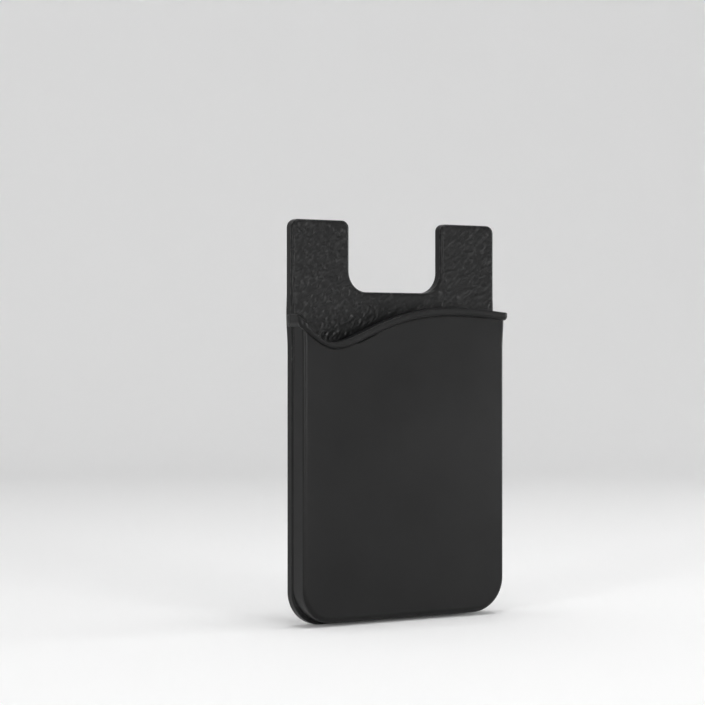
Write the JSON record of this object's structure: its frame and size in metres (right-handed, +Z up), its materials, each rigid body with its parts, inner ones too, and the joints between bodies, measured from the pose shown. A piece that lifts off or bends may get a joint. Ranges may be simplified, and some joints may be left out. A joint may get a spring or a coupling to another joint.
{
  "type": "stick-on phone card holder",
  "caption": "Flat moulded silicone card pocket with two ears beside a thumb notch, a wavy rolled lip and an adhesive back.",
  "frame": {"origin": "centre of the adhesive pad's outer face, which is pressed on the phone's back", "axes": "+Y into the phone, along the adhesive face's normal; -Y towards the viewer, through the pocket's front; +Z up, from the closed foot to the ears; +X to the right seen from the front"},
  "size_m": [0.0594, 0.0091, 0.096],
  "materials": {
    "silicone": "black satin moulded silicone, finely grained on the ears",
    "adhesive": "dark grey double-sided adhesive foam"
  },
  "bodies": {
    "root": {"card_sleeve": "silicone", "adhesive_pad": "adhesive"}
  },
  "joints": []
}
